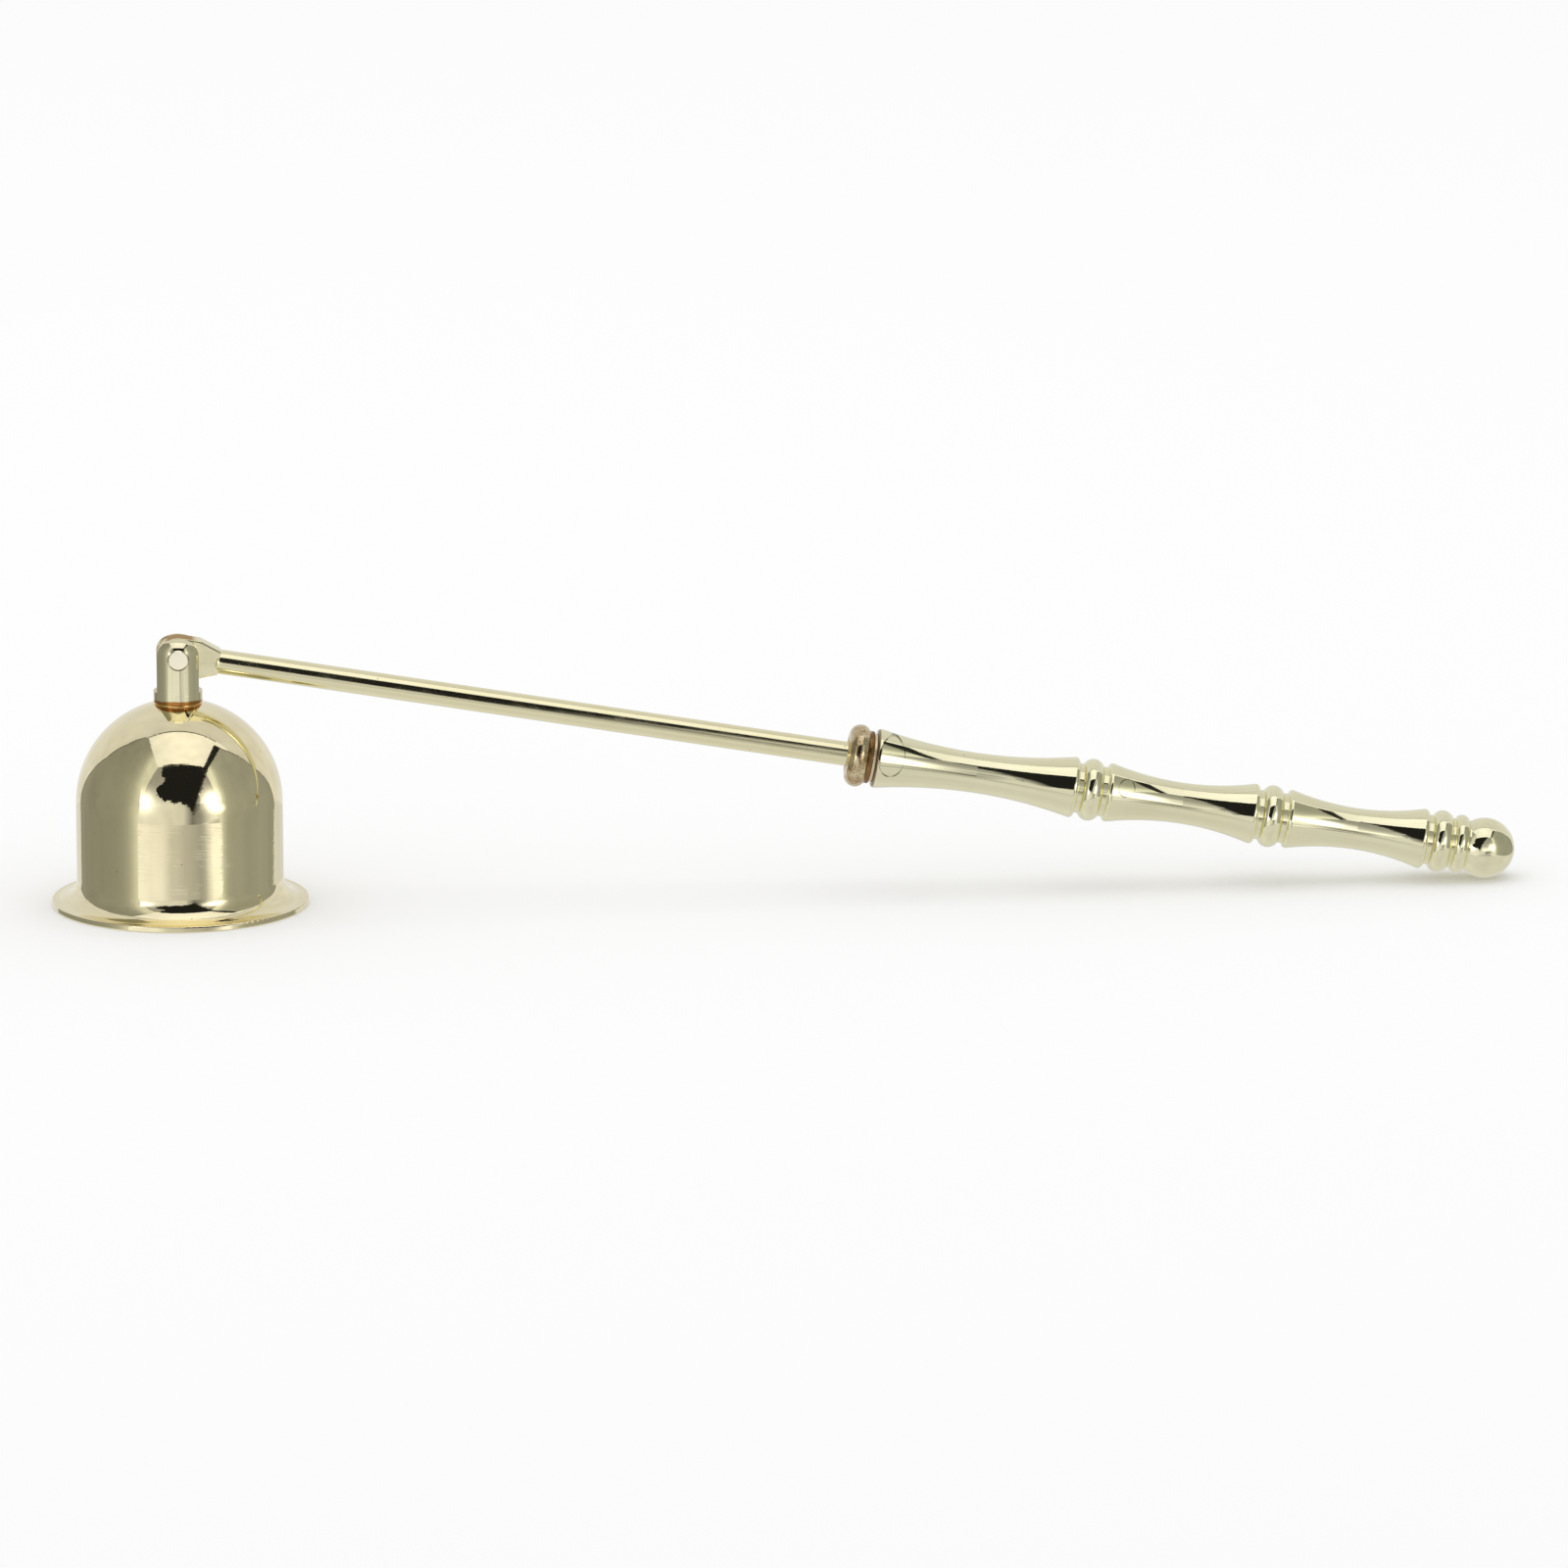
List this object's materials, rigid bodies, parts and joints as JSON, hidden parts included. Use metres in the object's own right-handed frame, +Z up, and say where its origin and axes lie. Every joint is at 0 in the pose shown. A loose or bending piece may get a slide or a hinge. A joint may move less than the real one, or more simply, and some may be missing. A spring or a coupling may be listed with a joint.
{
  "type": "candle snuffer",
  "caption": "Candle snuffer with a domed metal bell on a flared lip, hinged by a slotted knuckle to a long slim rod with a beaded collar and a waisted cast handle.",
  "frame": {"origin": "on the table, under the middle of the object's length and width", "axes": "+X out along the handle, +Y along the pivot pin, +Z up out of the bell's crown"},
  "size_m": [0.24, 0.042, 0.0448],
  "materials": {
    "polished_gilt": "bright pale gold plating, mirror polished",
    "tarnished_collar": "cast surface with thin plating, grey-brown tarnish",
    "tarnished_seat": "orange-brown tarnish",
    "plain_screw": "plain turned brass"
  },
  "bodies": {
    "bell_body": {"bell": "polished_gilt", "seat_washer": "tarnished_seat", "knuckle": "polished_gilt", "knuckle_screw": "plain_screw", "pivot_pin": "polished_gilt"},
    "handle_body": {"rod": "polished_gilt", "collar": "tarnished_collar", "handle": "polished_gilt"}
  },
  "joints": [
    {"name": "handle_pivot", "type": "hinge", "parent": "bell_body", "child": "handle_body", "pos_m": [-0.09902, 0, 0.04155], "axis": [0, -1, 0], "range_deg": [-23, 223]}
  ]
}
